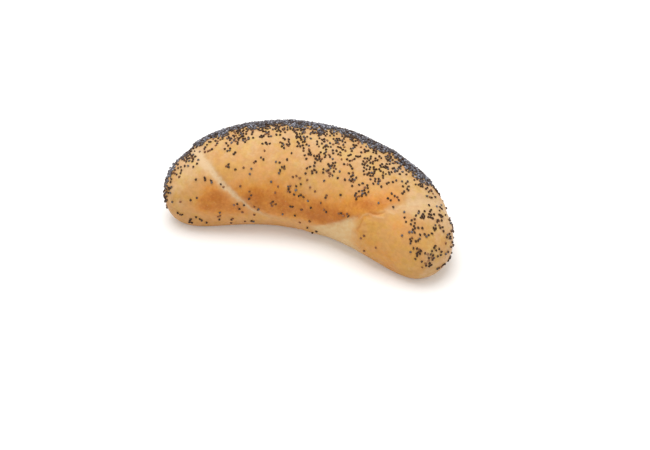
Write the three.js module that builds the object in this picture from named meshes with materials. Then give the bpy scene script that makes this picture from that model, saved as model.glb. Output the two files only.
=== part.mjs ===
import * as THREE from "three";

// Crescent bread roll: a strip of dough rolled up, bent and baked as one solid piece.
// Millimetres, +Z up. It lies end to end along X on its flat base at z = 0, with the
// hollow side of the crescent facing -Y. The origin is the middle of the outline box,
// on the base.

// Spine: the line through the middle of the roll, seen from above. A share runs along it
// from -1 at the left nose to +1 at the right nose.
const HALF_SPINE = 79.5; // from the middle to a nose, along the curve
const BEND_RADIUS = 82.5;
const BEND_SKEW = -0.07; // how much harder the left half bends than the right
const BEND_CLOSING = 0.09; // how much harder both ends bend than the middle

// Section across the spine, at its middle.
const HALF_WIDTH = 26.4;
const HEIGHT = 43.8;
const HEIGHT_LEAN = 0.02; // the left half stands this share taller, the right lower
const WIDEST_AT = 0.4; // height of the widest line, as a share of the height
const BASE_SHARE = 0.645; // half width of the flat base, as a share of the half width
const CROWN_SQUARENESS = 2.18; // 2 is an ellipse, more is squarer
const UNDER_SQUARENESS = 2.12;

// How each half runs out to its nose: a larger fullness keeps its size for longer.
const LEFT_HALF = {
  narrowing: 0.14,
  sinking: 0.06,
  outerFullness: 2.4,
  innerFullness: 3.6,
  crownFullness: 3.4,
};
const RIGHT_HALF = {
  narrowing: 0.07,
  sinking: 0.18,
  outerFullness: 5,
  innerFullness: 2.8,
  crownFullness: 3.25,
};
const UNDER_FULLNESS = 11; // the underside leaves the table only close to the noses

// Seams: the edges of the last wrap of dough. They run from its tip, low on the hollow
// side, up and over the crown on both sides of the middle, and on down the back.
// Each reaches farthest at the same girth angle; its sweep is the angle from there to the tip.
const SEAM_CREST = THREE.MathUtils.degToRad(-10);
const SEAM_DRIFT = 2; // how far a seam drifts outwards down the back, per radian
const LEFT_SEAM = {
  reach: 59.2, // from the middle to the seam along the spine
  sweep: THREE.MathUtils.degToRad(115),
  power: 3,
  roundness: 0.53,
};
const RIGHT_SEAM = {
  reach: 56.3,
  sweep: THREE.MathUtils.degToRad(120),
  power: 2.5,
  roundness: 1,
};
const GROOVE_DEPTH = 0.8;
const GROOVE_HALF_WIDTH = 3;
const GROOVE_END = THREE.MathUtils.degToRad(105); // the groove closes before the tip
const GROOVE_CLOSING = THREE.MathUtils.degToRad(25);
const WRAP_RISE = 0.5; // the last wrap stands this much proud of the end lobes

// Slow unevenness of the crust.
const UNEVENNESS = 0.35;
const UNEVEN_LENGTH = 14;

const CLEAR_OF_BASE = 4; // relief fades out over this height, so the base stays flat
const RINGS = 86;
const STEPS_OVER = 34; // facets from one edge of the base over the crown to the other
const STEPS_UNDER = 6; // facets across the base
const LEAST_UNDER_ANGLE = THREE.MathUtils.degToRad(14);
const SPINE_STEPS = 400;

const CRUST = { color: 0xd2924e, roughness: 0.55, metalness: 0 };

// Heading of the spine at a share of its length, before the crescent is set square.
function heading(share) {
  const skewed = share + BEND_SKEW * share ** 2 + BEND_CLOSING * share ** 3;
  return -(HALF_SPINE / BEND_RADIUS) * skewed;
}

// The spine as points, with both noses on a line along X.
function spinePoints() {
  const step = (2 * HALF_SPINE) / SPINE_STEPS;
  const points = [new THREE.Vector2()];
  for (let i = 0; i < SPINE_STEPS; i++) {
    const angle = heading(-1 + (2 * (i + 0.5)) / SPINE_STEPS);
    const stride = new THREE.Vector2(step * Math.cos(angle), step * Math.sin(angle));
    points.push(points[i].clone().add(stride));
  }
  const turn = -points[SPINE_STEPS].angle();
  points.forEach((p) => p.rotateAround(new THREE.Vector2(), turn));
  return { points, turn };
}

const spine = spinePoints();

// The place on the spine at a share of its length, and the direction out of its back.
function station(share) {
  const at = ((share + 1) / 2) * SPINE_STEPS;
  const low = Math.min(Math.floor(at), SPINE_STEPS - 1);
  const place = spine.points[low].clone().lerp(spine.points[low + 1], at - low);
  const angle = heading(share) + spine.turn;
  return { place, outward: new THREE.Vector2(-Math.sin(angle), Math.cos(angle)) };
}

// How full a half still is at a share of the spine: 1 at the middle, 0 at the nose.
function fullness(share, power) {
  return Math.sqrt(Math.max(0, 1 - Math.abs(share) ** power));
}

// Half widths and heights of the section at a share of the spine.
function sectionSize(share) {
  const half = share < 0 ? LEFT_HALF : RIGHT_HALF;
  const halfWidth = HALF_WIDTH * (1 - half.narrowing * share ** 2);
  const height = HEIGHT * (1 - HEIGHT_LEAN * share - half.sinking * share ** 2);
  const widestAt = WIDEST_AT * height;
  const cutDepth = (1 - BASE_SHARE ** UNDER_SQUARENESS) ** (1 / UNDER_SQUARENESS);
  return {
    outer: halfWidth * fullness(share, half.outerFullness),
    inner: halfWidth * fullness(share, half.innerFullness),
    widestAt,
    crown: (height - widestAt) * fullness(share, half.crownFullness),
    under: (widestAt / cutDepth) * fullness(share, UNDER_FULLNESS),
  };
}

// Half the angle of the section's curve that the base cuts off, from straight down.
function underAngle(size) {
  if (size.under <= size.widestAt) return LEAST_UNDER_ANGLE;
  const cut = Math.acos((size.widestAt / size.under) ** (UNDER_SQUARENESS / 2));
  return Math.max(cut, LEAST_UNDER_ANGLE);
}

// How far along the spine, from its middle, a seam lies at a girth angle.
function seamSpan(seam, girth) {
  const past = girth - SEAM_CREST;
  if (past < 0) return seam.reach - SEAM_DRIFT * past;
  const left = Math.max(0, 1 - (past / seam.sweep) ** seam.power);
  return seam.reach * left ** seam.roundness;
}

// Distance from the seam of the nearer end, more than 0 on the last wrap.
function seamDistance(along, girth) {
  const seam = along < 0 ? LEFT_SEAM : RIGHT_SEAM;
  const nudge = 0.02;
  const rise = (seamSpan(seam, girth + nudge) - seamSpan(seam, girth - nudge)) / (2 * nudge);
  return (seamSpan(seam, girth) - Math.abs(along)) / Math.hypot(1, rise / HALF_WIDTH);
}

// Height of the crust over the smooth section: seam groove, last wrap and unevenness.
function relief(along, girth) {
  const distance = seamDistance(along, girth);
  const { smoothstep } = THREE.MathUtils;
  const open = smoothstep(GROOVE_END - girth, 0, GROOVE_CLOSING);
  const groove = -GROOVE_DEPTH * open * Math.exp(-((distance / GROOVE_HALF_WIDTH) ** 2));
  const wrap = WRAP_RISE * open * smoothstep(distance, 0, 2 * GROOVE_HALF_WIDTH);
  const slow = Math.sin(along / UNEVEN_LENGTH + 1.3) * Math.cos(2 * girth + 0.7);
  return groove + wrap + UNEVENNESS * slow;
}

function powered(value, squareness) {
  return Math.sign(value) * Math.abs(value) ** (2 / squareness);
}

// A point of the crust. The girth angle is 0 at the crown and grows towards the hollow
// side, and pi is straight down.
function crustPoint(share, girth) {
  const size = sectionSize(share);
  const above = Math.cos(girth) >= 0;
  const squareness = above ? CROWN_SQUARENESS : UNDER_SQUARENESS;
  const side = -powered(Math.sin(girth), squareness);
  const up = powered(Math.cos(girth), squareness);
  const across = side * (side > 0 ? size.outer : size.inner);
  const lift = up * (above ? size.crown : size.under);
  const height = Math.max(0, size.widestAt + lift);
  const radius = Math.hypot(across, height - size.widestAt);
  const fade = Math.min(1, height / CLEAR_OF_BASE) * Math.min(1, radius / HALF_WIDTH);
  const swell = radius > 0 ? 1 + (fade * relief(share * HALF_SPINE, girth)) / radius : 1;
  const { place, outward } = station(share);
  return new THREE.Vector3(
    place.x + outward.x * across * swell,
    place.y + outward.y * across * swell,
    size.widestAt + (height - size.widestAt) * swell,
  );
}

// Girth angles of one ring of points: over the crown, then across the base.
function ringAngles(share) {
  const under = underAngle(sectionSize(share));
  const reach = Math.PI - under;
  const angles = [];
  for (let i = 0; i < STEPS_OVER; i++) {
    angles.push(THREE.MathUtils.lerp(reach, -reach, i / STEPS_OVER));
  }
  for (let i = 0; i < STEPS_UNDER; i++) {
    angles.push(THREE.MathUtils.lerp(-reach, -reach - 2 * under, i / STEPS_UNDER));
  }
  return angles;
}

// The closed crust: rings of points from nose to nose, closer together at the noses.
function crustGeometry() {
  const around = STEPS_OVER + STEPS_UNDER;
  const points = [crustPoint(-1, 0)];
  for (let ring = 1; ring < RINGS; ring++) {
    const share = -Math.cos((Math.PI * ring) / RINGS);
    ringAngles(share).forEach((girth) => points.push(crustPoint(share, girth)));
  }
  points.push(crustPoint(1, 0));
  const last = points.length - 1;
  const index = [];
  for (let i = 0; i < around; i++) {
    const next = (i + 1) % around;
    index.push(0, 1 + i, 1 + next);
    for (let ring = 0; ring < RINGS - 2; ring++) {
      const here = 1 + ring * around;
      const there = here + around;
      index.push(here + i, there + i, there + next);
      index.push(here + i, there + next, here + next);
    }
    index.push(last, last - around + next, last - around + i);
  }
  const geometry = new THREE.BufferGeometry().setFromPoints(points);
  geometry.setIndex(index);
  return geometry;
}

// The roll, with the origin moved to the middle of its outline on the base.
function makeRoll() {
  const geometry = crustGeometry();
  geometry.computeBoundingBox();
  const middle = geometry.boundingBox.getCenter(new THREE.Vector3());
  geometry.translate(-middle.x, -middle.y, 0);
  geometry.computeVertexNormals();
  const roll = new THREE.Mesh(geometry, new THREE.MeshStandardMaterial(CRUST));
  roll.name = "roll";
  return roll;
}

const bread = new THREE.Group();
bread.add(makeRoll());

export default bread;
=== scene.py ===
"""A crescent bread roll with poppy seeds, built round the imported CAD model.

The crust follows the spine and section of the CAD node "roll" and adds what that solid is too
coarse for: the edges of the last wrap of dough, creases, blisters and skin. The seeds are real
grains that lie on the crust. Sizes are in millimetres and girth angles in degrees up to the
point where a mesh is made; Blender objects are in metres.

A share runs along the roll from -1 at the left nose to +1 at the right nose, and "along" is the
same in millimetres. A girth angle runs round it: 0 at the crown, 90 on the hollow side, -90 on
the back and 180 underneath. A run is a pair of places or angles between which something grows
from nothing to all of it.
"""

import math

import bpy
import numpy as np
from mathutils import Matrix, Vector
from mathutils.kdtree import KDTree


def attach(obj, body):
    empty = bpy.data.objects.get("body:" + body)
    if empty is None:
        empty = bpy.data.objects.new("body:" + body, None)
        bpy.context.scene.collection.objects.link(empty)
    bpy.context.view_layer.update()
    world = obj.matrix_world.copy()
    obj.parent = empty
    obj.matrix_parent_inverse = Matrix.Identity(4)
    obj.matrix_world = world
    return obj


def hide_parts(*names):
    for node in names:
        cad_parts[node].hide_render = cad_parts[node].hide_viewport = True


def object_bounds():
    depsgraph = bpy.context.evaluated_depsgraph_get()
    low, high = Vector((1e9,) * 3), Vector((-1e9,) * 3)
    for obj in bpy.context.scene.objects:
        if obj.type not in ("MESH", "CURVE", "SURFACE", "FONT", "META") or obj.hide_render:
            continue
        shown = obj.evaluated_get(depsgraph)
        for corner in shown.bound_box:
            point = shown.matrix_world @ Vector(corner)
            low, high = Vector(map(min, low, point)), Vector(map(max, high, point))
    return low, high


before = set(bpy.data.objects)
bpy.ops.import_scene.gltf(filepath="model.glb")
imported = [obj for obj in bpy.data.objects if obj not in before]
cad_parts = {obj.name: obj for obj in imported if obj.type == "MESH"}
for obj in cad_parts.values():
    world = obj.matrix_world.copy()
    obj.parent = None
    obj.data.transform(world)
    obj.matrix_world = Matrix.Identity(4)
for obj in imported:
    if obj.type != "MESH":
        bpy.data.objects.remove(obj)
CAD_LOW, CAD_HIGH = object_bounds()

MM = 0.001

# ---- sizes of the CAD roll
HALF_SPINE = 79.5
BEND_RADIUS = 82.5
BEND_SKEW = -0.07
BEND_CLOSING = 0.09
HALF_WIDTH = 26.4
HEIGHT = 43.8
HEIGHT_LEAN = 0.02
WIDEST_AT = 0.4
BASE_SHARE = 0.645
CROWN_SQUARENESS = 2.18
UNDER_SQUARENESS = 2.12
LEFT_HALF = {"narrowing": 0.14, "sinking": 0.06, "outer": 2.4, "inner": 3.6, "crown": 3.4}
RIGHT_HALF = {"narrowing": 0.07, "sinking": 0.18, "outer": 5.0, "inner": 2.8, "crown": 3.25}
UNDER_FULLNESS = 11
SEAM_CREST = -10
SEAM_DRIFT = 0.035
LEFT_SEAM = {"reach": 59.2, "sweep": 115, "power": 3.0, "roundness": 0.53}
RIGHT_SEAM = {"reach": 56.3, "sweep": 120, "power": 2.5, "roundness": 1.0}
LEAST_UNDER_ANGLE = 14
SPINE_STEPS = 400

# ---- fine shape of the crust
RINGS = 430
STEPS_OVER = 176
STEPS_UNDER = 34
CLEAR_OF_BASE = 4  # the relief fades out this near the base
LEFT_TO_RIGHT = (-6, 6)  # run along the roll where its left half gives way to its right
LEFT_SEAM_CLOSES = (90, 106)
RIGHT_SEAM_CLOSES = (16, 40)
WRAP_RISE = 0.5  # the last wrap over the end lobes
WRAP_SLOPE = (0.3, 3.4)
TROUGH_DEPTH = 0.34  # the pale trough along the wrap's edge
TROUGH_WIDTH = 1.9
RIGHT_TROUGH_LOSS = 0.3
DIP_DEPTH, DIP = 0.35, (-1.5, 5.0)  # the wide dip that the trough lies in
BACK_DIP_DEPTH, BACK_DIP = 0.15, (-1.0, 6.0)
BACK_DIP_OPENS = (30, 60)
LIP_RISE = 0.34  # the wrap's edge on the right of the hollow side, over the raw dough
LIP_EDGE = (-1.0, 1.2)
LIP_SETTLES = (4, 15)
LIP_LOSS = 0.8  # how much of the lip's rise is gone where it has settled
LIP_OPENS = (20, 44)
LIP_CLOSES = (96, 112)
UNDER_LIP_DEPTH, UNDER_LIP = 0.35, (-1.4, 2.0)
FOLD_RISE = 0.24  # the skin of the right lobe over the raw dough
FOLD_EDGE = (-0.6, 0.6)
FOLD_SETTLES = (3, 12)
FOLD_OPENS = (50, 60)
FOLD_CLOSES = (78, 96)
FOLD_AT, FOLD_LEAN, FOLD_GIRTH = 45.4, 0.09, 56  # place along, drift to a degree, angle it is at
RAW_DEPTH = 0.3  # the raw dough under the skin round it
RAW_MARGIN = 0.9  # how far the raw dough shows past the seam, and more at both of its ends
RAW_TIP_MARGIN, RAW_TIP = 1.2, (12, 34)
RAW_TOP_MARGIN, RAW_TOP = 1.5, (28, 42)
RAW_EDGE = 1.6
RAW_OPENS = (54, 68)
RAW_BEGINS = (3, 14)
RAW_FOOT = (70, 94)
UNEVENNESS = 0.35
UNEVEN_LENGTH = 14
UNEVEN_PHASES = 1.3, 0.7
DENTS = ((13.0, 0.20), (6.0, 0.08), (2.6, 0.035))  # wavelength, height
DENT_DRAW = 100
PIT_SIZE, PIT_DRAW, PIT_THRESHOLD = 1.5, 140, 0.15
TROUGH_PITS, RAW_PITS = 0.35, 0.14
BLISTERS = 420
BLISTER_DRAW = 31
BLISTER_REACH = 72  # how far from the middle they lie along the roll
BLISTER_MIDDLE, BLISTER_SPREAD = 34, 22  # round the roll, from the crown
BLISTER_SIZES = (0.45, 1.3)
BLISTER_HEIGHTS = (0.06, 0.18)  # as a share of the size
MAP_MARGIN = 0.005  # bare edge of the bake map

# Folds and creases in the skin beside the right seam: places (mm along, girth degrees), height
# and width. The colour is paler along the raised folds and browner along the creases.
OUTER_FOLD = ((44.0, 60), (44.8, 55), (46.3, 50), (47.8, 47.5), (49.9, 47), (52.5, 44), (55.0, 39))
STROKES = (
    (OUTER_FOLD, 0.34, 0.55),
    (((47.7, 46), (49.5, 44), (51.3, 41), (52.6, 36), (53.1, 32)), -0.38, 0.50),
    (((44.3, 75), (45.8, 69), (45.5, 64), (45.6, 60)), -0.24, 0.70),
    (((52.2, 29), (54.0, 26.5), (55.8, 26), (57.2, 24.5)), 0.26, 0.60),
    (((51.6, 35.0), (54.6, 29.0), (57.2, 23.0)), 0.14, 0.60),
    (((51.0, 32.0), (54.0, 24.0), (56.8, 17.0)), -0.20, 0.50),
    (((48.0, 64), (50.8, 58), (54.2, 54)), -0.14, 0.55),
    (((48.6, 74), (53.2, 67), (58.4, 62)), -0.10, 0.60),
    (((14.0, 96), (22.0, 95), (30.0, 90), (36.0, 83)), -0.16, 0.60),
    (((56.6, 12), (57.4, 0), (58.6, -10)), -0.18, 0.60),
)
FULL_STROKE = 0.3  # height at which a fold or crease takes its full colour

# ---- how the crust is baked
# Bake runs from about 0, pale, to 1, brown. Ramps are (amount, from girth, to girth); patches are
# (amount, mm along, reach, girth angle, reach).
LEAST_BAKE = 0.08
NOSE_BAKE = 0.16
NOSE = (66, 78)
NEAR_UNDERSIDE = (125, 175)
HOLLOW_RAMPS = ((0.22, -5, 35), (0.25, 30, 55), (0.42, 50, 74), (-0.45, 84, 102))
HOLLOW_PATCHES = (
    (0.10, -59, 8, 66, 15),
    (0.16, -57, 7, 53, 14),
    (-0.12, -48, 12, 78, 8),
    (-0.28, 4, 9, 58, 18),
    (-0.10, -4, 16, 34, 10),
    (0.07, 36, 9, 22, 16),
)
BULGE_BAKE, BULGE = 0.55, (5.0, 7.5)  # the bulge beside the right seam
BULGE_OPENS = (-14, 12)
BULGE_CLOSES = (40, 70)
BACK_BAKE, BACK = 0.45, (-92, 30)
CROWN = (12, 24)  # the pale skin on the crown of both lobes
LEFT_CROWN_LOSS, LEFT_CROWN = 0.22, (57, 63)
RIGHT_CROWN_LOSS, RIGHT_CROWN = 0.14, (-3.5, 3.5)
RIGHT_LOBE = (0.5, 4.0)
LOBE_BAKE = 0.14
LOBE_RAMPS = ((0.28, -18, 22), (0.16, 55, 95))
LOBE_PATCHES = ((0.10, 63, 6, 22, 12),)
LOBE_NOSE_LOSS = 0.5
RIGHT_SEAM_LOSS, BY_RIGHT_SEAM = 0.24, (-2.0, 5.5)
RIGHT_SEAM_FADES = (-5, 12)
BAKE_WAVES = ((0.06, 26.0, 150), (0.05, 9.0, 151))  # amount, wavelength, draw
GOLD_RUN = (15, 85)
SEAM_WAVES = ((0.7, 6.0, 152), (0.45, 2.4, 153))
HALO = (-1.2, 3.0)  # the paler skin beside a trough
HALO_BAKE_LOSS, HALO_SHARE, RIGHT_HALO_LOSS = 0.12, 0.25, 0.4
STREAK_AT, STREAK_WIDTH, RIGHT_STREAK_LOSS = -0.6, 1.65, 0.6  # the pale streak in a trough
STREAK_NARROWING, STREAK_NARROWS = 0.75, (62, 86)
STREAK_LOSS, STREAK_FADES = 0.4, (66, 96)
CREST_STREAK, CREST_LINE, CREST_REACH = 0.1, (0.8, 2.4), 15
PALE_FOLD_SHARE = 0.30
LOW_STRIP = ((0.22, -20, 30, 108, 9),)  # pale dough low on the hollow side
# Underside: the base's own browner crust, fading out over these heights in mm; along the sides its
# lowest millimetre by the floor is also painted shade from the contact shadow.
UNDER_HEIGHTS = (0.15, 1.1)
# LOW_SHADE is painted shade: the crust low on both sides, over this run of girth degrees, is mixed
# partly to the underside colour where the shadow by the base falls.
LOW_SHADE, LOW_SHADE_RUN = 0.22, (98, 118)

# ---- seeds
SEED_LENGTH = 1.28
SEED_WIDTH = 1.16
SEED_THICKNESS = 1.0
SEED_SPACING = 1.0
SEED_SEGMENTS, SEED_BANDS = 8, 5
NOTCH_DEPTH, NOTCH_LENGTH, NOTCH_RUN = 0.17, 0.26, (0.0, 0.3)
SEED_BEND = 0.35
SEED_TILT = 0.22
SIZE_SPREAD, SIZE_LEAST, SIZE_MOST = 0.09, 0.78, 1.24
SEED_PIECES = 4
TILE_SPAN = 1.25  # width of a seed's bake tile, in seed lengths
TILE_HALF, TILE_MARGIN = 0.48, 0.03

# Where the seeds lie, in seeds to a square millimetre.
BAND_GIRTH = -48  # middle of the thick band
BAND_DENSITY, BAND_EDGE = 2.5, 2.2
BAND_HALF, BAND_NARROWING, BAND_NARROWS = 22.5, 6.5, (-12, 35)
BAND_BEGINS, BAND_ENDS = (-63, -55), (36, 54)
FRINGE_DENSITY, FRINGE_WIDTH = 0.70, 9  # where the band thins out
LEFT_SCATTER = 0.02, 0.24, (-14, 14)  # least density, more of it near the band, its run
RIGHT_SCATTER = 0.016, 0.135, (22, 44)
SCATTER_TO_RIGHT = (-22, 2)
SCATTER_BEGINS = (-63, -58)
SCATTER_THINS = ((0.75, 32, 44), (0.5, 56, 66))  # share lost, run along the roll
LOW_SEEDS = ((0.025, -5, 20, 66, 12),)
FOOT_HEAP = ((0.20, -70, 4, 122, 8),)
LEFT_LOBE_SEEDS = ((0.66, -32, -14), (0.31, -8, 14))
LEFT_LOBE_LEAST = 0.010
LEFT_LOBE_RUN = (60, 64)
LEFT_NOSE_LOSS, LEFT_NOSE = 0.45, (72, 76)
LEFT_BACK_SEEDS, LEFT_BACK_RUN, LEFT_BACK_GIRTHS = 0.10, (66, 72), (70, 95)
RIGHT_LOBE_LEAST = 0.072
RIGHT_LOBE_SEEDS = ((0.26, 65, 4, -27, 9),)
RIGHT_LOBE_THINS, RIGHT_LOBE_FRONT, RIGHT_LOBE_BACK = 0.5, (26, 46), (50, 75)
RIGHT_LOBE_EDGE, RIGHT_EDGE_LEAN, RIGHT_EDGE_RUN = 59, 12, (6, 42)
RIGHT_EDGE_WIDTH = 4
RIGHT_LOW_LOSS, RIGHT_LOW = 0.85, (82, 96)
SHUT, SHUT_SHARE = (-0.5, 2.8), 0.97  # the seams were shut when it was seeded
SHUT_OPENS = (-105, -80)
LOWEST_SEED, LOWEST_WIDTH = 116, 10
NOSE_LOWER, NOSE_LOWER_RUN, NOSE_LOWER_GIRTHS = 22, (64, 72), (0, 60)
NO_SEEDS = (138, 148)

# How the seeds are thrown down. The numbers named DRAW start the random draws.
WANDER = ((7, 15.0, 162), (6, 5.0, 163))  # how much the band's edges wander: degrees, mm, draw
WANDER_KEEPS_OFF, WANDER_MIDDLE = (60, 46), -12
THICK = (0.9, 1.9)
CROWDED = (0.15, 0.95)
PATCHINESS = ((1.3, 7.0, 160), (1.2, 3.2, 161))
PATCHINESS_BALANCE = 0.39
CLUMP_SHARE, CLUMP_CEILING = 0.14, 0.5
CLUMP_ENDS = 0.38  # chance that a clump ends with its next seed
CLUMP_STEP = (1.0, 1.3)
CLUMP_DRAW, FIRST_DRAW, SECOND_DRAW, LIFT_DRAW, PIECE_DRAW = 41, 42, 43, 44, 50
THIN_SHARE = 0.52
TRIES = 4.0
SECOND_DENSITY, SECOND_SPACING = 0.85, 1.02
FIRST_LIFT, SECOND_LIFT = 0.32, 0.95
LIFT_SPREAD, THICK_LIFT_SPREAD = 0.05, 0.07
GLAZED_SINKS = 0.12
FADED_CHANCE, FADED_TONE = 0.16, 0.40
LONE_TONE, PACKED_TONE = (0.06, 0.08), (0.62, 0.24)  # middle and spread
GLAZED_CHANCE, GLAZED_MORE, GLAZED_RUN = 0.14, 0.30, (28, 52)
GLAZED_CROWDING = 0.3
VEILS = (0.25, 0.75)
FARTHEST_CELL = 2.0


def smooth(value, low, high):
    """0 at low, 1 at high and a smooth run between them."""
    t = np.clip((value - low) / (high - low), 0, 1)
    return t * t * (3 - 2 * t)


def bell(value, middle, width):
    return np.exp(-(((value - middle) / width) ** 2))


def ramps(table, girth):
    return sum(amount * smooth(girth, low, high) for amount, low, high in table)


def patches(table, along, girth):
    """Round patches: amount, place and reach along the roll, girth angle and its reach."""
    total = 0
    for amount, place, length, angle, reach in table:
        total = total + amount * bell(along, place, length) * bell(girth, angle, reach)
    return total


# ---- the crust's shape
def heading(share):
    skewed = share + BEND_SKEW * share**2 + BEND_CLOSING * share**3
    return -(HALF_SPINE / BEND_RADIUS) * skewed


def spine_table():
    """Shares, places and the turn that sets both noses on a line along X."""
    middles = -1 + 2 * (np.arange(SPINE_STEPS) + 0.5) / SPINE_STEPS
    step = 2 * HALF_SPINE / SPINE_STEPS
    angle = heading(middles)
    x = np.concatenate([[0], np.cumsum(np.cos(angle))]) * step
    y = np.concatenate([[0], np.cumsum(np.sin(angle))]) * step
    turn = -math.atan2(y[-1], x[-1])
    c, s = math.cos(turn), math.sin(turn)
    return np.linspace(-1, 1, SPINE_STEPS + 1), x * c - y * s, x * s + y * c, turn


SPINE_SHARE, SPINE_X, SPINE_Y, SPINE_TURN = spine_table()


def by_half(share, key):
    return np.where(share < 0, LEFT_HALF[key], RIGHT_HALF[key])


def fullness(share, power):
    return np.sqrt(np.maximum(0, 1 - np.abs(share) ** power))


def section_size(share):
    """Half widths and heights of the section at each share."""
    half_width = HALF_WIDTH * (1 - by_half(share, "narrowing") * share**2)
    height = HEIGHT * (1 - HEIGHT_LEAN * share - by_half(share, "sinking") * share**2)
    widest_at = WIDEST_AT * height
    cut_depth = (1 - BASE_SHARE**UNDER_SQUARENESS) ** (1 / UNDER_SQUARENESS)
    outer = half_width * fullness(share, by_half(share, "outer"))
    inner = half_width * fullness(share, by_half(share, "inner"))
    crown = (height - widest_at) * fullness(share, by_half(share, "crown"))
    under = widest_at / cut_depth * fullness(share, UNDER_FULLNESS)
    return outer, inner, widest_at, crown, under


def under_angle(share):
    """Half the angle of the section that the base cuts off, in degrees from straight down."""
    _, _, widest_at, _, under = section_size(share)
    ratio = np.clip(widest_at / np.maximum(under, 1e-6), 0, 1)
    return np.maximum(np.degrees(np.arccos(ratio ** (UNDER_SQUARENESS / 2))), LEAST_UNDER_ANGLE)


def seam_span(side, girth):
    """How far along the spine, from its middle, the seam of one end lies at a girth angle."""
    past = girth - SEAM_CREST
    left = np.maximum(0, 1 - np.maximum(0, past / side["sweep"]) ** side["power"])
    return side["reach"] * left ** side["roundness"] - SEAM_DRIFT * np.minimum(0, past)


def seam_distance(along, girth):
    """Distance from the seam of the nearer end, more than 0 on the last wrap."""
    to_seam = []
    for side in (LEFT_SEAM, RIGHT_SEAM):
        rise = seam_span(side, girth + 1) - seam_span(side, girth - 1)
        per_mm = rise / (2 * math.radians(1) * HALF_WIDTH)
        to_seam.append((seam_span(side, girth) - np.abs(along)) / np.hypot(1, per_mm))
    return np.where(along < 0, *to_seam)


def waves(points, wavelength, seed, count=28):
    """Smooth noise from -1 to 1 or so: plane waves in random directions."""
    rng = np.random.default_rng(seed)
    directions = rng.normal(size=(count, 3))
    directions /= np.linalg.norm(directions, axis=1, keepdims=True)
    numbers = 2 * math.pi / (wavelength * rng.uniform(0.75, 1.4, count))
    phases = rng.uniform(0, 2 * math.pi, count)
    total = np.zeros(points.shape[:-1])
    for direction, number, phase in zip(directions, numbers, phases):
        total += np.sin(points @ direction * number + phase)
    return total * math.sqrt(2 / count) / 2


def all_waves(points, table):
    return sum(amount * waves(points, wavelength, seed) for amount, wavelength, seed in table)


def raw_mask(along, girth, distance, right):
    """The patch of raw dough that shows below the right seam, low on the hollow side."""
    margin = RAW_MARGIN + RAW_TIP_MARGIN * (1 - smooth(along, *RAW_TIP))
    margin = margin + RAW_TOP_MARGIN * smooth(along, *RAW_TOP)
    raw = right * smooth(-distance, -margin, RAW_EDGE)
    raw = raw * smooth(girth, *RAW_OPENS) * smooth(along, *RAW_BEGINS)
    low = smooth(girth, *RAW_FOOT)
    return raw * (1 - smooth(fold_distance(along, girth), -8 - 7 * low, -1 + 2 * low))


def masks(along, girth):
    """Where the crust is seam trough, lip, raw dough and so on, each from 0 to 1."""
    distance = seam_distance(along, girth)
    right = smooth(along, *LEFT_TO_RIGHT)
    left_open = 1 - smooth(girth, *LEFT_SEAM_CLOSES)
    right_open = 1 - smooth(girth, *RIGHT_SEAM_CLOSES)
    seam_open = left_open * (1 - right) + right_open * right
    return {
        "distance": distance,
        "right": right,
        "open": seam_open,
        "trough": bell(distance, 0, TROUGH_WIDTH) * seam_open,
        "lip": right * smooth(girth, *LIP_OPENS) * (1 - smooth(girth, *LIP_CLOSES)),
        "raw": raw_mask(along, girth, distance, right),
    }


def fold_distance(along, girth):
    """Distance along the roll from the edge of the right lobe's skin, more than 0 on the skin."""
    wander = 0.55 * np.sin(girth / 4.2) + 0.4 * np.sin(girth / 1.9 + 1.0)
    return along - (FOLD_AT + FOLD_LEAN * (girth - FOLD_GIRTH) + wander)


def relief(along, girth):
    """Height of the crust over the smooth section, without noise: the seams and slow swells."""
    m = masks(along, girth)
    distance = m["distance"]
    wrap = WRAP_RISE * smooth(distance, *WRAP_SLOPE) * m["open"]
    trough = -TROUGH_DEPTH * m["trough"] * (1 - RIGHT_TROUGH_LOSS * m["right"])
    dip = -DIP_DEPTH * bell(distance, *DIP) * m["open"]
    back = -BACK_DIP_DEPTH * bell(distance, *BACK_DIP)
    back = back * smooth(-girth, *BACK_DIP_OPENS)
    lip = LIP_RISE * m["lip"] * smooth(distance, *LIP_EDGE)
    lip = lip * (1 - LIP_LOSS * smooth(distance, *LIP_SETTLES))
    under_lip = -UNDER_LIP_DEPTH * m["lip"] * bell(distance, *UNDER_LIP)
    fold = fold_distance(along, girth)
    skin = FOLD_RISE * smooth(fold, *FOLD_EDGE) * (1 - smooth(fold, *FOLD_SETTLES))
    skin = skin * smooth(girth, *FOLD_OPENS) * (1 - smooth(girth, *FOLD_CLOSES))
    raw = -RAW_DEPTH * m["raw"]
    phase_along, phase_round = UNEVEN_PHASES
    slow = np.sin(along / UNEVEN_LENGTH + phase_along)
    slow = slow * np.cos(np.radians(2 * girth) + phase_round)
    return wrap + trough + dip + back + lip + under_lip + skin + raw + UNEVENNESS * slow


def stroke_distance(along, arc, places):
    """Distance from a line through places, over the crust laid out flat."""
    nearest = np.full(along.shape, 1e3)
    for (s0, g0), (s1, g1) in zip(places, places[1:]):
        a0, a1 = math.radians(g0) * HALF_WIDTH, math.radians(g1) * HALF_WIDTH
        run = np.array([s1 - s0, a1 - a0])
        t = ((along - s0) * run[0] + (arc - a0) * run[1]) / (run @ run)
        t = np.clip(t, 0, 1)
        nearest = np.minimum(nearest, np.hypot(along - s0 - t * run[0], arc - a0 - t * run[1]))
    return nearest


def stroke_field(along, girth, pale_fold=None):
    """The height of the folds and creases, or how much crust is paler on the folds or browner in
    the creases, 0 to 1.
    """
    arc = np.radians(girth) * HALF_WIDTH
    field = np.zeros_like(along)
    for places, height, width in STROKES:
        if pale_fold is not None and pale_fold != (height > 0):
            continue
        amount = height if pale_fold is None else min(1, abs(height) / FULL_STROKE)
        field += amount * np.exp(-((stroke_distance(along, arc, places) / width) ** 2))
    return field


def powered(value, squareness):
    return np.sign(value) * np.abs(value) ** (2 / squareness)


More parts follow.
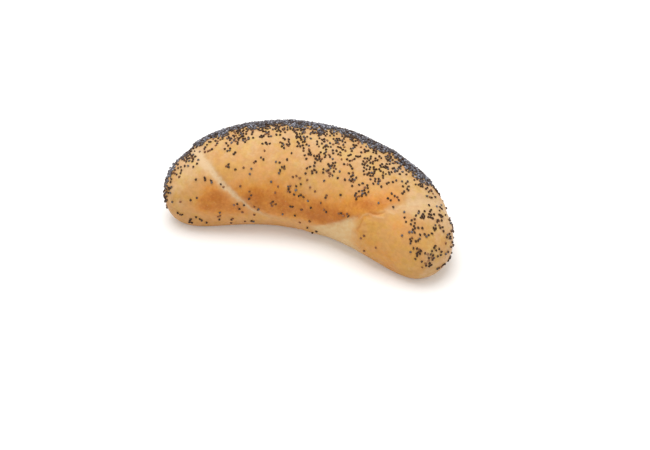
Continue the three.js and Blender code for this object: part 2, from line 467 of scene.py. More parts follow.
def crust_points(share, girth, extra=0.0):
    """Places on the crust, in millimetres, raised by the relief and by extra."""
    outer, inner, widest_at, crown, under = section_size(share)
    angle = np.radians(girth)
    above = np.cos(angle) >= 0
    squareness = np.where(above, CROWN_SQUARENESS, UNDER_SQUARENESS)
    side = -powered(np.sin(angle), squareness)
    up = powered(np.cos(angle), squareness)
    across = side * np.where(side > 0, outer, inner)
    height = np.maximum(0, widest_at + up * np.where(above, crown, under))
    radius = np.hypot(across, height - widest_at)
    fade = np.minimum(1, height / CLEAR_OF_BASE) * np.minimum(1, radius / HALF_WIDTH)
    raised = fade * (relief(share * HALF_SPINE, girth) + extra)
    swell = 1 + raised / np.maximum(radius, 1e-6)
    turned = heading(share) + SPINE_TURN
    x = np.interp(share, SPINE_SHARE, SPINE_X) - np.sin(turned) * across * swell
    y = np.interp(share, SPINE_SHARE, SPINE_Y) + np.cos(turned) * across * swell
    z = widest_at + (height - widest_at) * swell
    return np.stack([x, y, z], -1)


def crust_grid():
    """Shares and girth angles of the rings of points, nose to nose."""
    share = -np.cos(math.pi * np.arange(1, RINGS) / RINGS)
    under = under_angle(share)[:, None]
    reach = 180 - under
    over = reach - 2 * reach * np.arange(STEPS_OVER)[None, :] / STEPS_OVER
    below = -reach - 2 * under * np.arange(STEPS_UNDER)[None, :] / STEPS_UNDER
    girth = np.concatenate([over, below], 1)
    return np.broadcast_to(share[:, None], girth.shape), girth


def blister_field(along, arc):
    """Small round blisters, most of them on the hollow side where the skin is tight."""
    rng = np.random.default_rng(BLISTER_DRAW)
    field = np.zeros_like(along)
    for _ in range(BLISTERS):
        at = rng.uniform(-BLISTER_REACH, BLISTER_REACH)
        side = rng.normal(BLISTER_MIDDLE, BLISTER_SPREAD)
        size = rng.uniform(*BLISTER_SIZES)
        height = size * rng.uniform(*BLISTER_HEIGHTS)
        near = (np.abs(along - at) < 3 * size) & (np.abs(arc - side) < 3 * size)
        spread = (along[near] - at) ** 2 + (arc[near] - side) ** 2
        field[near] += height * np.exp(-spread / size**2)
    return field


def crust_noise(share, girth):
    """Height of the blisters, strokes, dents and pits."""
    points = crust_points(share, girth)
    along = share * HALF_SPINE
    total = blister_field(along, np.radians(girth) * HALF_WIDTH) + stroke_field(along, girth)
    for number, (wavelength, height) in enumerate(DENTS):
        total += height * waves(points, wavelength, DENT_DRAW + number)
    m = masks(along, girth)
    pits = np.maximum(0, waves(points, PIT_SIZE, PIT_DRAW) - PIT_THRESHOLD)
    total -= TROUGH_PITS * pits * m["trough"] + RAW_PITS * pits * m["raw"]
    return total


def wrap_girth(girth):
    """Girth angles from -180 to 180, for colours that depend on the side."""
    return (girth + 180) % 360 - 180


def hollow_bake(along, around, m):
    """Bake of the hollow side between the seams and of the left lobe."""
    hollow = ramps(HOLLOW_RAMPS, around) + patches(HOLLOW_PATCHES, along, around)
    bulge = BULGE_BAKE * bell(m["distance"], *BULGE) * m["right"]
    return hollow + bulge * smooth(around, *BULGE_OPENS) * (1 - smooth(around, *BULGE_CLOSES))


def lobe_bake(along, around, m, above, nose):
    """Bake of the right lobe."""
    pale_crown = RIGHT_CROWN_LOSS * bell(m["distance"], *RIGHT_CROWN)
    pale_crown = pale_crown * bell(around, *CROWN)
    bake = LOBE_BAKE + above * ramps(LOBE_RAMPS, around) * (1 - LOBE_NOSE_LOSS * nose)
    return bake - pale_crown + patches(LOBE_PATCHES, along, around)


def bake_field(along, around, m, above, right_lobe, points):
    nose = smooth(np.abs(along), *NOSE)
    bake = LEAST_BAKE + above * hollow_bake(along, around, m) * (1 - nose) + NOSE_BAKE * nose
    bake += BACK_BAKE * bell(around, *BACK) * (1 - nose)
    bake -= LEFT_CROWN_LOSS * smooth(-along, *LEFT_CROWN) * bell(around, *CROWN)
    bake = bake * (1 - right_lobe) + lobe_bake(along, around, m, above, nose) * right_lobe
    by_seam = m["right"] * bell(m["distance"], *BY_RIGHT_SEAM)
    bake -= RIGHT_SEAM_LOSS * by_seam * (1 - smooth(around, *RIGHT_SEAM_FADES))
    return bake + all_waves(points, BAKE_WAVES)


def seam_fields(along, girth, around, m, points):
    """The pale streak in the troughs, with the paler folds, and the paler halo beside them."""
    right = m["right"]
    wobbly = m["distance"] + all_waves(points, SEAM_WAVES)
    halo = bell(wobbly, *HALO) * m["open"] * (1 - RIGHT_HALO_LOSS * right)
    width = STREAK_WIDTH - STREAK_NARROWING * smooth(around, *STREAK_NARROWS) * (1 - right)
    streak = bell(wobbly, STREAK_AT, width) * m["open"] * (1 - RIGHT_STREAK_LOSS * right)
    crest = CREST_STREAK * right * bell(wobbly, *CREST_LINE)
    streak = streak + crest * bell(around, 0, CREST_REACH)
    streak = streak * (1 - STREAK_LOSS * smooth(around, *STREAK_FADES))
    pale_fold = stroke_field(along, girth, pale_fold=True)
    return np.clip(streak + HALO_SHARE * halo + PALE_FOLD_SHARE * pale_fold, 0, 1), halo


def colour_attributes(share, girth, points):
    """What the crust's material reads: bake, crease, gold, seam, raw dough, and underside with
    painted shade low on the sides.
    """
    along = share * HALF_SPINE
    around = wrap_girth(girth)
    m = masks(along, girth)
    above = 1 - smooth(around, *NEAR_UNDERSIDE)
    right_lobe = m["right"] * smooth(-m["distance"], *RIGHT_LOBE)
    seam, halo = seam_fields(along, girth, around, m, points)
    bake = bake_field(along, around, m, above, right_lobe, points)
    under = 1 - smooth(points[..., 2], *UNDER_HEIGHTS)
    return {
        "bake": bake - HALO_BAKE_LOSS * halo,
        "crease": np.clip(stroke_field(along, girth, pale_fold=False), 0, 1),
        "gold": right_lobe * smooth(around, *GOLD_RUN) * above,
        "seam": seam,
        "raw": np.clip(m["raw"] + patches(LOW_STRIP, along, around), 0, 1),
        # under: the underside's own colour, plus painted shade low on both sides and along the base
        "under": np.maximum(under, LOW_SHADE * smooth(np.abs(around), *LOW_SHADE_RUN)),
    }


def make_crust():
    """The crust's mesh, and its grid of shares, angles, points and normals for the seeds."""
    share, girth = crust_grid()
    points = crust_points(share, girth, crust_noise(share, girth))
    points[..., 2] = np.maximum(points[..., 2], 0)
    low, high = points.reshape(-1, 3).min(0), points.reshape(-1, 3).max(0)
    cad_middle = (np.array(CAD_LOW) + np.array(CAD_HIGH)) / 2 / MM
    shift = cad_middle - (low + high) / 2
    shift[2] = CAD_LOW[2] / MM
    points = points + shift
    around = points.shape[1]
    noses = [crust_points(np.array(end), np.array(0.0)) + shift for end in (-1.0, 1.0)]
    vertices = np.concatenate([[noses[0]], points.reshape(-1, 3), [noses[1]]])
    faces, maps = crust_faces(points.shape[0], around)
    mesh = new_mesh("crust", vertices * MM, faces)
    for name, values in colour_attributes(share, girth, points).items():
        first, last = [values[0].mean()], [values[-1].mean()]
        add_attribute(mesh, name, np.concatenate([first, values.ravel(), last]))
    add_map(mesh, maps)
    return add_object("crust", mesh), {"share": share, "girth": wrap_girth(girth), "points": points}


def crust_faces(rings, around):
    """Faces between the rings and round both noses, with the bake map's place of each corner.
    The map's U runs along the roll and its V round it, and it opens under the roll."""
    faces, maps = [], []
    last = 1 + rings * around
    u = np.linspace(MAP_MARGIN, 1 - MAP_MARGIN, rings + 2)
    v = MAP_MARGIN + (1 - 2 * MAP_MARGIN) * np.arange(around + 1) / around
    start = around - STEPS_UNDER // 2
    for i in range(around):
        here, beside = (start + i) % around, (start + i + 1) % around
        low, high = v[i], v[i + 1]
        faces.append((0, 1 + here, 1 + beside))
        maps.append(((u[0], (low + high) / 2), (u[1], low), (u[1], high)))
        for ring in range(rings - 1):
            a = 1 + ring * around
            b = a + around
            faces.append((a + here, b + here, b + beside, a + beside))
            u0, u1 = u[ring + 1], u[ring + 2]
            maps.append(((u0, low), (u1, low), (u1, high), (u0, high)))
        a = last - around
        faces.append((last, a + beside, a + here))
        maps.append(((u[-1], (low + high) / 2), (u[-2], high), (u[-2], low)))
    return faces, maps


# ---- mesh helpers
def add_object(name, data):
    thing = bpy.data.objects.new(name, data)
    bpy.context.scene.collection.objects.link(thing)
    return thing


def new_mesh(name, vertices, faces):
    mesh = bpy.data.meshes.new(name)
    mesh.from_pydata(vertices.tolist(), [], faces)
    mesh.polygons.foreach_set("use_smooth", [True] * len(mesh.polygons))
    mesh.update()
    return mesh


def add_attribute(mesh, name, values):
    attribute = mesh.attributes.new(name, "FLOAT", "POINT")
    attribute.data.foreach_set("value", np.asarray(values, np.float32))


def add_map(mesh, corners):
    """The map that the looks are baked to."""
    flat = np.array([c for face in corners for c in face], np.float32)
    mesh.uv_layers.new(name="OFBake").data.foreach_set("uv", flat.ravel())


# ---- seeds
def seed_shape():
    """One poppy seed about the origin: a small bean, flattened, with a notch in one edge."""
    vertices = [(0.5, 0.0, 0.0)]
    for band in range(1, SEED_BANDS):
        polar = math.pi * band / SEED_BANDS
        for segment in range(SEED_SEGMENTS):
            turn = 2 * math.pi * segment / SEED_SEGMENTS
            ring = math.sin(polar) / 2
            vertices.append((math.cos(polar) / 2, ring * math.cos(turn), ring * math.sin(turn)))
    vertices.append((-0.5, 0.0, 0.0))
    shape = np.array(vertices) * (SEED_LENGTH, SEED_WIDTH, SEED_THICKNESS)
    notch = np.exp(-((shape[:, 0] / NOTCH_LENGTH) ** 2)) * smooth(-shape[:, 1], *NOTCH_RUN)
    shape[:, 1] += NOTCH_DEPTH * notch - SEED_BEND * shape[:, 0] ** 2
    faces = []
    last = len(vertices) - 1
    for s in range(SEED_SEGMENTS):
        t = (s + 1) % SEED_SEGMENTS
        faces.append((0, 1 + s, 1 + t))
        for band in range(SEED_BANDS - 2):
            a, b = 1 + band * SEED_SEGMENTS, 1 + (band + 1) * SEED_SEGMENTS
            faces.append((a + s, b + s, b + t))
            faces.append((a + s, b + t, a + t))
        faces.append((last, last - SEED_SEGMENTS + t, last - SEED_SEGMENTS + s))
    return shape, np.array(faces)


def band_density(along, from_band):
    half = BAND_HALF - BAND_NARROWING * smooth(along, *BAND_NARROWS)
    band = BAND_DENSITY / (1 + np.exp((from_band - half) / BAND_EDGE))
    fringe = FRINGE_DENSITY * bell(from_band, half, FRINGE_WIDTH)
    return (band + fringe) * (smooth(along, *BAND_BEGINS) * (1 - smooth(along, *BAND_ENDS)))


def scatter_density(along, mirrored):
    """Loose seeds between the seams."""
    parts = []
    for least, more, run in (LEFT_SCATTER, RIGHT_SCATTER):
        parts.append(least + more * (1 - smooth(mirrored, *run)))
    to_right = smooth(along, *SCATTER_TO_RIGHT)
    scatter = parts[0] * (1 - to_right) + parts[1] * to_right
    share, begin, end = SCATTER_THINS[0]
    scatter = scatter * (1 - share * smooth(along, begin, end)) * smooth(along, *SCATTER_BEGINS)
    share, begin, end = SCATTER_THINS[1]
    return scatter * (1 - share * smooth(along, begin, end))


def left_lobe_density(along, around, mirrored):
    (near, *near_run), (far, *far_run) = LEFT_LOBE_SEEDS
    density = near * (1 - smooth(mirrored, *near_run)) + far * (1 - smooth(mirrored, *far_run))
    density = (density + LEFT_LOBE_LEAST) * (1 - LEFT_NOSE_LOSS * smooth(-along, *LEFT_NOSE))
    back = LEFT_BACK_SEEDS * smooth(-along, *LEFT_BACK_RUN) * smooth(-around, *LEFT_BACK_GIRTHS)
    return (density + back) * smooth(-along, *LEFT_LOBE_RUN)


def right_lobe_density(along, around):
    density = RIGHT_LOBE_LEAST + patches(RIGHT_LOBE_SEEDS, along, around)
    density = density * (1 - RIGHT_LOBE_THINS * smooth(around, *RIGHT_LOBE_FRONT))
    density = density * (1 - RIGHT_LOBE_THINS * smooth(-around, *RIGHT_LOBE_BACK))
    edge = RIGHT_LOBE_EDGE + RIGHT_EDGE_LEAN * smooth(around, *RIGHT_EDGE_RUN)
    low = 1 - RIGHT_LOW_LOSS * smooth(around, *RIGHT_LOW)
    return density * smooth(along, edge, edge + RIGHT_EDGE_WIDTH) * low


def seed_density(along, around):
    """Seeds to a square millimetre. They are thick in a band behind the crown, where the roll
    was pressed into them, and thin out to both sides; the seams were shut in at the time."""
    from_band = np.abs(around - BAND_GIRTH)
    mirrored = np.where(around < BAND_GIRTH, 2 * BAND_GIRTH - around, around)
    shut = bell(seam_distance(along, around), *SHUT) * smooth(around, *SHUT_OPENS)
    shut = np.maximum(shut, masks(along, around)["raw"])
    total = band_density(along, from_band) + scatter_density(along, mirrored)
    total = (total + patches(LOW_SEEDS, along, around)) * (1 - SHUT_SHARE * shut)
    total = total + left_lobe_density(along, around, mirrored)
    total = total + right_lobe_density(along, around)
    lowest = smooth(-along, *NOSE_LOWER_RUN) * smooth(-around, *NOSE_LOWER_GIRTHS)
    lowest = LOWEST_SEED + NOSE_LOWER * lowest
    total = total * (1 - smooth(np.abs(around), lowest, lowest + LOWEST_WIDTH))
    total = total + patches(FOOT_HEAP, along, around)
    return total * (1 - smooth(np.abs(around), *NO_SEEDS))


class Spacing:
    """Remembers places and says whether a new one is clear of them all."""

    def __init__(self, gap):
        self.gap = gap
        self.cells = {}

    def takes(self, point):
        key = tuple((point // self.gap).astype(int))
        for dx in (-1, 0, 1):
            for dy in (-1, 0, 1):
                for dz in (-1, 0, 1):
                    for other in self.cells.get((key[0] + dx, key[1] + dy, key[2] + dz), ()):
                        if np.dot(other - point, other - point) < self.gap**2:
                            return False
        self.cells.setdefault(key, []).append(point)
        return True


def cell_table(grid):
    """Corner, two edges, normal, area, place along and girth of each cell of the crust."""
    p = grid["points"]
    beside = np.roll(p, -1, 1)
    corner = p[:-1]
    edge_u, edge_v = p[1:] - corner, beside[:-1] - corner
    cross = np.cross(edge_u, edge_v)
    area = np.linalg.norm(cross, axis=-1)
    normal = cross / np.maximum(area, 1e-9)[..., None]
    middle = p.reshape(-1, 3).mean(0)
    if ((corner - middle) * normal).sum(-1).mean() < 0:
        normal = -normal
    return {
        "corner": corner.reshape(-1, 3),
        "edge_u": edge_u.reshape(-1, 3),
        "edge_v": edge_v.reshape(-1, 3),
        "normal": normal.reshape(-1, 3),
        "area": area.ravel(),
        "along": (grid["share"][:-1] * HALF_SPINE).ravel(),
        "around": grid["girth"][:-1].ravel(),
    }


def sow(cells, density, seed, tries, spacing):
    """Places for seeds: random ones that follow the density and keep their distance."""
    rng = np.random.default_rng(seed)
    weight = cells["area"] * density
    total = weight.sum()
    count = int(total * tries)
    picks = rng.choice(len(weight), size=count, p=weight / total)
    u, v = rng.random((2, count, 1))
    places = cells["corner"][picks] + u * cells["edge_u"][picks] + v * cells["edge_v"][picks]
    wanted = int(total)
    kept = []
    for pick, place in zip(picks, places):
        if len(kept) >= wanted:
            break
        if spacing.takes(place):
            kept.append((pick, place))
    return kept


def sow_clumps(cells, tree, density, seed, spacing):
    """Clumps of touching seeds, as they fall off the thick band: each grows from any of its own."""
    rng = np.random.default_rng(seed)
    weight = cells["area"] * density
    starts = rng.choice(len(weight), size=int(weight.sum()), p=weight / weight.sum())
    kept = []
    for start in starts:
        place = cells["corner"][start]
        if not spacing.takes(place):
            continue
        clump = [(start, place)]
        for _ in range(int(rng.geometric(CLUMP_ENDS))):
            index, beside = clump[int(rng.integers(len(clump)))]
            turn = rng.uniform(0, 2 * math.pi)
            side = cells["edge_u"][index] / np.linalg.norm(cells["edge_u"][index])
            other = np.cross(cells["normal"][index], side)
            step = rng.uniform(*CLUMP_STEP) * SEED_SPACING
            place = beside + step * (math.cos(turn) * side + math.sin(turn) * other)
            index, place = settle(cells, tree, place)
            if index is not None and spacing.takes(place):
                clump.append((index, place))
        kept += clump
    return kept


def cell_tree(cells):
    tree = KDTree(len(cells["corner"]))
    for i, corner in enumerate(cells["corner"]):
        tree.insert(corner, i)
    tree.balance()
    return tree


def settle(cells, tree, place):
    """The crust's cell under a place, and that place moved onto it."""
    _, index, distance = tree.find(Vector(place))
    normal = cells["normal"][index]
    onto = place - normal * np.dot(place - cells["corner"][index], normal)
    return (None, place) if distance > FARTHEST_CELL else (index, onto)


def seed_turns(normals, rng, tilt):
    """Rotation matrices that lay a seed flat on each normal, turned and tilted at random."""
    count = len(normals)
    up = normals + rng.normal(0, tilt, (count, 3))
    up /= np.linalg.norm(up, axis=1, keepdims=True)
    guess = rng.normal(size=(count, 3))
    x = guess - (guess * up).sum(1, keepdims=True) * up
    x /= np.linalg.norm(x, axis=1, keepdims=True)
    return np.stack([x, np.cross(up, x), up], -1)


def make_seeds(name, places, normals, lift, tones, veils, seed):
    """One piece of many seeds. Each has its own tone, size, turn and tile of the bake map."""
    rng = np.random.default_rng(seed)
    shape, faces = seed_shape()
    count, corners = len(places), len(shape)
    turns = seed_turns(normals, rng, SEED_TILT)
    sizes = rng.normal(1.0, SIZE_SPREAD, (count, 1, 3)).clip(SIZE_LEAST, SIZE_MOST)
    bodies = np.einsum("nij,nvj->nvi", turns, shape[None] * sizes)
    bodies += (places + normals * lift[:, None])[:, None, :]
    all_faces = (faces[None] + corners * np.arange(count)[:, None, None]).reshape(-1, 3)
    mesh = new_mesh(name, bodies.reshape(-1, 3) * MM, all_faces.tolist())
    add_attribute(mesh, "tone", np.repeat(tones, corners))
    add_attribute(mesh, "veil", np.repeat(veils, corners))
    add_tiles(mesh, shape, faces, count)
    return add_object(name, mesh)


def add_tiles(mesh, shape, faces, count):
    """A bake map with a square tile for each seed: its upper side left, its lower side right."""
    per_side = math.ceil(math.sqrt(count))
    corner = shape[:, :2][faces] / (TILE_SPAN * SEED_LENGTH) + 0.5
    upper = shape[faces].mean(1)[:, 2] >= 0
    right_half = np.where(upper, 0, 1 - TILE_HALF)
    corner[..., 0] = right_half[:, None] + corner[..., 0] * TILE_HALF
    tile = np.arange(count)
    origin = np.stack([tile % per_side, tile // per_side], -1)
    inset = TILE_MARGIN + (1 - 2 * TILE_MARGIN) * corner
    places = (inset[None] + origin[:, None, None, :]) / per_side
    layer = mesh.uv_layers.new(name="OFBake")
    layer.data.foreach_set("uv", places.astype(np.float32).ravel())


# ---- materials
def node_material(name):
    material = bpy.data.materials.new(name)
    material.use_nodes = True
    tree = material.node_tree
    return material, tree, tree.nodes["Principled BSDF"]


class Nodes:
    """Short ways to add and join nodes of one material."""

    def __init__(self, tree):
        self.tree = tree
        coords = tree.nodes.new("ShaderNodeTexCoord")
        self.place = coords.outputs["Object"]

    def add(self, kind, **settings):
        node = self.tree.nodes.new(kind)
        for key, value in settings.items():
            setattr(node, key, value)
        return node

    def link(self, source, target):
        self.tree.links.new(source, target)

    def attribute(self, name):
        return self.add("ShaderNodeAttribute", attribute_name=name).outputs["Fac"]

    def off_middle(self, value):
        return self.math("SUBTRACT", value, 0.5)

    def noise(self, size_mm, detail=3.0, rough=0.55, stretch=0.0):
        node = self.add("ShaderNodeTexNoise")
        node.inputs["Scale"].default_value = 1 / (size_mm * MM)
        node.inputs["Detail"].default_value = detail
        node.inputs["Roughness"].default_value = rough
        node.inputs["Distortion"].default_value = stretch
        self.link(self.place, node.inputs["Vector"])
        return node.outputs["Fac"]

    def cells(self, size_mm, feature="F1"):
        node = self.add("ShaderNodeTexVoronoi", feature=feature)
        node.inputs["Scale"].default_value = 1 / (size_mm * MM)
        self.link(self.place, node.inputs["Vector"])
        return node.outputs["Distance"]

    def math(self, operation, a, b=None, c=None, clamp=False):
        node = self.add("ShaderNodeMath", operation=operation, use_clamp=clamp)
        for socket, value in zip(node.inputs, (a, b, c)):
            if value is None:
                continue
            if isinstance(value, (int, float)):
                socket.default_value = value
            else:
                self.link(value, socket)
        return node.outputs[0]

    def spread(self, value, from_low, from_high, to_low=0.0, to_high=1.0):
        node = self.add("ShaderNodeMapRange", interpolation_type="SMOOTHSTEP")
        self.link(value, node.inputs["Value"])
        ends = (from_low, from_high, to_low, to_high)
        for key, end in zip(("From Min", "From Max", "To Min", "To Max"), ends):
            node.inputs[key].default_value = end
        return node.outputs["Result"]

    def mix(self, factor, a, b, blend="MIX"):
        node = self.add("ShaderNodeMix", data_type="RGBA", blend_type=blend)
        sockets = (node.inputs["Factor"], node.inputs[6], node.inputs[7])
        for socket, value in zip(sockets, (factor, a, b)):
            if isinstance(value, (int, float)):
                socket.default_value = value
            elif isinstance(value, tuple):
                socket.default_value = (*value, 1.0)
            else:
                self.link(value, socket)
        return node.outputs[2]

    def ramp(self, value, stops):
        node = self.add("ShaderNodeValToRGB")
        elements = node.color_ramp.elements
        while len(elements) < len(stops):
            elements.new(0.5)
        for element, (at, colour) in zip(elements, stops):
            element.position = at
            element.color = (*colour, 1.0)
        self.link(value, node.inputs["Fac"])
        return node.outputs["Color"]

    def bump(self, height, strength, distance_mm, before=None):
        node = self.add("ShaderNodeBump")
        node.inputs["Strength"].default_value = strength
        node.inputs["Distance"].default_value = distance_mm * MM
        self.link(height, node.inputs["Height"])
        if before is not None:
            self.link(before, node.inputs["Normal"])
        return node.outputs["Normal"]


PALE_SKIN = (0.530, 0.328, 0.156)
PEACH = (0.488, 0.252, 0.084)
GOLD = (0.512, 0.246, 0.075)
AMBER = (0.512, 0.200, 0.036)
BROWN = (0.388, 0.118, 0.013)
YELLOW_TINT = (1.0, 1.04, 0.72)
PINK_TINT = (1.0, 0.90, 0.98)
LIGHT_PATCH = (1.13, 1.15, 1.18)
TROUGH_SKIN = (0.60, 0.42, 0.24)
RAW_DOUGH = (0.62, 0.44, 0.225)
# The underside's own crust colours, also used as painted shade low on the sides and along the base.
UNDERSIDE_AND_SHADE = (0.40, 0.20, 0.07)
UNDERSIDE_AND_SHADE_DARK = (0.27, 0.115, 0.035)
BLOTCHES, MOTTLING, FRECKLES = 0.30, 0.32, 0.32  # how much each moves the bake
YELLOW_SHARE, GOLD_SHARE, PINK_SHARE, SPOT_SHARE, CREASE_SHARE = 0.7, 0.45, 0.5, 0.5, 0.5
DULLER_SEAMS = 0.25  # roughness that troughs, raw dough and the underside add
CRUST_SPECULAR, SEED_SPECULAR, FLOOR_SPECULAR = 0.22, 0.18, 0.1


def crust_skin(n):
    """Colour of the crust where it is whole, from its bake, with patches, spots and creases."""
    blotches = n.off_middle(n.noise(9.0, 4.0, 0.6))
    freckles = n.off_middle(n.noise(1.4, 3.0, 0.6))
    bake = n.math("MULTIPLY_ADD", blotches, BLOTCHES, n.attribute("bake"))
    bake = n.math("MULTIPLY_ADD", n.off_middle(n.noise(3.4, 3.0)), MOTTLING, bake)
    bake = n.math("MULTIPLY_ADD", freckles, FRECKLES, bake)
    stops = ((0.0, PALE_SKIN), (0.25, PEACH), (0.5, GOLD), (0.75, AMBER), (1.0, BROWN))
    colour = n.ramp(bake, stops)
    yellow = n.math("MULTIPLY", n.spread(n.noise(5.0, 3.0), 0.44, 0.64), YELLOW_SHARE)
    gold = n.math("MULTIPLY", n.attribute("gold"), GOLD_SHARE)
    colour = n.mix(n.math("ADD", yellow, gold, clamp=True), colour, YELLOW_TINT, "MULTIPLY")
    pink = n.spread(n.noise(3.1, 3.0, 0.6, 0.4), 0.50, 0.70)
    colour = n.mix(n.math("MULTIPLY", pink, PINK_SHARE), colour, PINK_TINT, "MULTIPLY")
    light_patches = n.spread(n.noise(2.3, 4.0, 0.6), 0.34, 0.66)
    colour = n.mix(light_patches, colour, n.mix(1.0, colour, LIGHT_PATCH, "MULTIPLY"))
    spots = n.spread(n.cells(1.1), 0.10, 0.30, 1.0, 0.0)
    chosen = n.spread(n.noise(3.2, 2.0), 0.55, 0.68)
    spots = n.math("MULTIPLY", n.math("MULTIPLY", spots, chosen), SPOT_SHARE)
    colour = n.mix(spots, colour, PALE_SKIN)
    return n.mix(n.math("MULTIPLY", n.attribute("crease"), CREASE_SHARE), colour, BROWN)


def crust_material():
    material, tree, shader = node_material("baked_crust")
    n = Nodes(tree)
    seam = n.spread(n.noise(0.7, 3.0), 0.2, 0.6, 0.55, 1.0)
    seam = n.math("MULTIPLY", n.attribute("seam"), seam)
    colour = n.mix(seam, crust_skin(n), TROUGH_SKIN)
    raw = n.spread(n.noise(2.2, 4.0), 0.3, 0.7, 0.65, 1.0)
    raw = n.math("MULTIPLY", n.attribute("raw"), raw)
    colour = n.mix(raw, colour, RAW_DOUGH)
    scorched = n.spread(n.noise(5.0, 5.0, 0.65), 0.35, 0.65)
    # The under attribute gives the underside's own colour and painted shade low on the sides and
    # along the base.
    under = n.attribute("under")
    colour = n.mix(under, colour, n.mix(scorched, UNDERSIDE_AND_SHADE, UNDERSIDE_AND_SHADE_DARK))
    n.link(colour, shader.inputs["Base Color"])
    dull = n.math("MAXIMUM", under, n.math("MAXIMUM", seam, raw))
    rough = n.spread(n.noise(2.0, 4.0), 0.3, 0.7, 0.40, 0.54)
    rough = n.math("ADD", rough, n.math("MULTIPLY", dull, DULLER_SEAMS))
    n.link(rough, shader.inputs["Roughness"])
    skin = n.bump(n.noise(0.9, 4.0, 0.6), 0.55, 0.09)
    grain = n.bump(n.noise(0.28, 2.0), 0.35, 0.035, skin)
    n.link(grain, shader.inputs["Normal"])
    shader.inputs["Specular IOR Level"].default_value = CRUST_SPECULAR
    return material


SEED_BROWN = (0.052, 0.021, 0.008)
SEED_BLACK = (0.074, 0.047, 0.036)
SEED_SLATE = (0.155, 0.154, 0.176)
SEED_GREY = (0.33, 0.33, 0.375)
SEED_NET = (0.16, 0.13, 0.12)
SEED_VEIL = (0.33, 0.135, 0.058)
SEED_VARIETY = 0.35
NET_SHARE = 0.10


def seed_material():
    material, tree, shader = node_material("poppy_seed")
    n = Nodes(tree)
    mottled = n.off_middle(n.noise(0.45, 3.0))
    tone = n.math("MULTIPLY_ADD", mottled, SEED_VARIETY, n.attribute("tone"))
    stops = ((0.0, SEED_BROWN), (0.35, SEED_BLACK), (0.7, SEED_SLATE), (1.0, SEED_GREY))
    colour = n.ramp(tone, stops)
    pits = n.spread(n.cells(0.17, "DISTANCE_TO_EDGE"), 0.0, 0.12)
    net = n.math("MULTIPLY", n.math("SUBTRACT", 1.0, pits), NET_SHARE)
    colour = n.mix(n.attribute("veil"), n.mix(net, colour, SEED_NET), SEED_VEIL)
    n.link(colour, shader.inputs["Base Color"])
    n.link(n.spread(n.noise(0.6, 2.0), 0.3, 0.7, 0.42, 0.62), shader.inputs["Roughness"])
    n.link(n.bump(pits, 0.6, -0.03), shader.inputs["Normal"])
    shader.inputs["Specular IOR Level"].default_value = SEED_SPECULAR
    return material


FLOOR_GREYS = (0.75, 0.75, 0.75), (0.77, 0.77, 0.77)
FLOOR_PATCHES = 180.0
FLOOR_GLOW = 0.23  # the floor is a light table, so the shadow under the roll stays pale
FLOOR_ROUGHNESS = 0.9
WARM_GLOW = (1.0, 0.90, 0.78)


def floor_material():
    material, tree, shader = node_material("studio_floor")
    n = Nodes(tree)
    colour = n.mix(n.noise(FLOOR_PATCHES, 2.0), *FLOOR_GREYS)
    n.link(colour, shader.inputs["Base Color"])
    n.link(n.mix(1.0, colour, WARM_GLOW, "MULTIPLY"), shader.inputs["Emission Color"])
    shader.inputs["Emission Strength"].default_value = FLOOR_GLOW
    shader.inputs["Roughness"].default_value = FLOOR_ROUGHNESS
    shader.inputs["Specular IOR Level"].default_value = FLOOR_SPECULAR
    return material


# ---- the roll
def seed_looks(crowding, around, rng):
    """Tone and veil of each seed: slate blue where they crowd; alone on the crust most are near
    black, a few are grey, and a few lie under a veil of baked glaze."""
    faded = rng.random(len(crowding)) < FADED_CHANCE
    alone = rng.normal(*LONE_TONE, len(crowding)) + FADED_TONE * faded
    packed = rng.normal(*PACKED_TONE, len(crowding))
    tones = np.clip(alone * (1 - crowding) + packed * crowding, 0, 1)
    chance = GLAZED_CHANCE + GLAZED_MORE * smooth(around, *GLAZED_RUN)
    glazed = (rng.random(len(crowding)) < chance) & (crowding < GLAZED_CROWDING)
    return tones, glazed * rng.uniform(*VEILS, len(crowding))


def seed_fields(cells):
    """Density of the seeds on each cell, and how thickly and how close to each other they lie."""
    along, around = cells["along"], cells["around"]
    middles = cells["corner"] + (cells["edge_u"] + cells["edge_v"]) / 2
    wander = all_waves(middles, WANDER)
    wander = wander * smooth(np.abs(along - WANDER_MIDDLE), *WANDER_KEEPS_OFF)
    density = seed_density(along, around + wander)
    thick = smooth(density, *THICK)
    crowding = smooth(density, *CROWDED)
    patchy = np.exp(all_waves(middles, PATCHINESS) - PATCHINESS_BALANCE)
    return density * (thick + (1 - thick) * patchy), thick, crowding


def sow_all(cells, density, thick):
    """The seeds that lie on the crust, and the ones that lie on those in the thick band."""
    spacing = Spacing(SEED_SPACING)
    clump_share = CLUMP_SHARE * np.minimum(density, CLUMP_CEILING) * (1 - thick)
    clumps = sow_clumps(cells, cell_tree(cells), clump_share, CLUMP_DRAW, spacing)
    thinned = density * (THIN_SHARE + (1 - THIN_SHARE) * thick)
    first = sow(cells, thinned, FIRST_DRAW, TRIES, spacing)
    upper = Spacing(SEED_SPACING * SECOND_SPACING)
    second = sow(cells, SECOND_DENSITY * thick, SECOND_DRAW, TRIES, upper)
    return (clumps + first, FIRST_LIFT), (second, SECOND_LIFT)


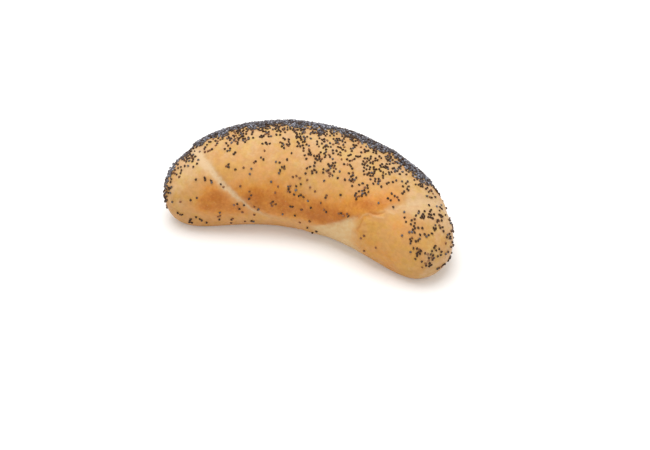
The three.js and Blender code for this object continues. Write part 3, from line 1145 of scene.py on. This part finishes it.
def make_all_seeds(grid, material):
    """The pieces of seeds, cut where each holds as many, from the left nose to the right."""
    cells = cell_table(grid)
    density, thick, crowding = seed_fields(cells)
    rng = np.random.default_rng(LIFT_DRAW)
    rows = []
    for kept, lift in sow_all(cells, density, thick):
        index, places = (np.array(column) for column in zip(*kept))
        lifts = lift + rng.normal(0, LIFT_SPREAD + THICK_LIFT_SPREAD * thick[index])
        tones, veils = seed_looks(crowding[index], cells["around"][index], rng)
        rows.append((index, places, lifts - GLAZED_SINKS * (veils > 0), tones, veils))
    index, places, lifts, tones, veils = (np.concatenate(column) for column in zip(*rows))
    order = np.argsort(cells["along"][index], kind="stable")
    pieces = []
    for number, part in enumerate(np.array_split(order, SEED_PIECES)):
        name = f"poppy_seeds_{number + 1}"
        looks = (lifts[part], tones[part], veils[part])
        normals = cells["normal"][index[part]]
        piece = make_seeds(name, places[part], normals, *looks, PIECE_DRAW + number)
        piece.data.materials.append(material)
        pieces.append(piece)
    return pieces


def make_roll():
    crust, grid = make_crust()
    crust.data.materials.append(crust_material())
    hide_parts("roll")
    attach(crust, "root")
    for piece in make_all_seeds(grid, seed_material()):
        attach(piece, "root")


# ---- floor, light and camera
FLOOR_HALF = 3.0
FLOOR_GAP = 0.05 * MM
WORLD_LIGHT = 0.78
KEY_WATTS = 11.2
KEY_SIZE = 0.9
KEY_PLACE = (-0.12, 0.05, 1.15)
CAMERA_AZIMUTH = 19.0
CAMERA_ELEVATION = 42.0
CAMERA_DISTANCE = 0.9
CAMERA_LENS = 100.6
CAMERA_SENSOR = 36
CAMERA_CLIP = 0.01
LOOK_HEIGHT = 20 * MM
LOOK_RIGHT, LOOK_DOWN = 3.0 * MM, 18.8 * MM  # the roll sits a little high in the frame


def make_floor():
    mesh = bpy.data.meshes.new("floor")
    level = CAD_LOW[2] - FLOOR_GAP
    signs = ((-1, -1), (1, -1), (1, 1), (-1, 1))
    corners = [(x * FLOOR_HALF, y * FLOOR_HALF, level) for x, y in signs]
    mesh.from_pydata(corners, [], [(0, 1, 2, 3)])
    mesh.materials.append(floor_material())
    add_object("floor", mesh)


def make_light():
    """Even light from all round, and one big soft lamp above, a little left of the middle."""
    world = bpy.data.worlds.new("studio")
    world.use_nodes = True
    background = world.node_tree.nodes["Background"]
    background.inputs["Color"].default_value = (1.0, 1.0, 1.0, 1.0)
    background.inputs["Strength"].default_value = WORLD_LIGHT
    bpy.context.scene.world = world
    light = bpy.data.lights.new("key", "AREA")
    light.shape = "RECTANGLE"
    light.size = light.size_y = KEY_SIZE
    light.energy = KEY_WATTS
    lamp = add_object("key", light)
    lamp.location = KEY_PLACE
    lamp.rotation_euler = (-Vector(KEY_PLACE)).to_track_quat("-Z", "Y").to_euler()
    bpy.context.scene.view_settings.view_transform = "Standard"


def make_camera():
    azimuth, elevation = math.radians(CAMERA_AZIMUTH), math.radians(CAMERA_ELEVATION)
    level = math.cos(elevation)
    out = Vector((math.sin(azimuth) * level, -math.cos(azimuth) * level, math.sin(elevation)))
    right = Vector((math.cos(azimuth), math.sin(azimuth), 0))
    middle = Vector((0, 0, LOOK_HEIGHT))
    place = middle + out * CAMERA_DISTANCE
    aim = middle + right * LOOK_RIGHT - out.cross(right) * LOOK_DOWN
    data = bpy.data.cameras.new("camera")
    data.lens = CAMERA_LENS
    data.sensor_width = CAMERA_SENSOR
    data.clip_start = CAMERA_CLIP
    camera = add_object("camera", data)
    camera.location = place
    camera.rotation_euler = (aim - place).to_track_quat("-Z", "Y").to_euler()
    bpy.context.scene.camera = camera


make_roll()
make_floor()
make_light()
make_camera()
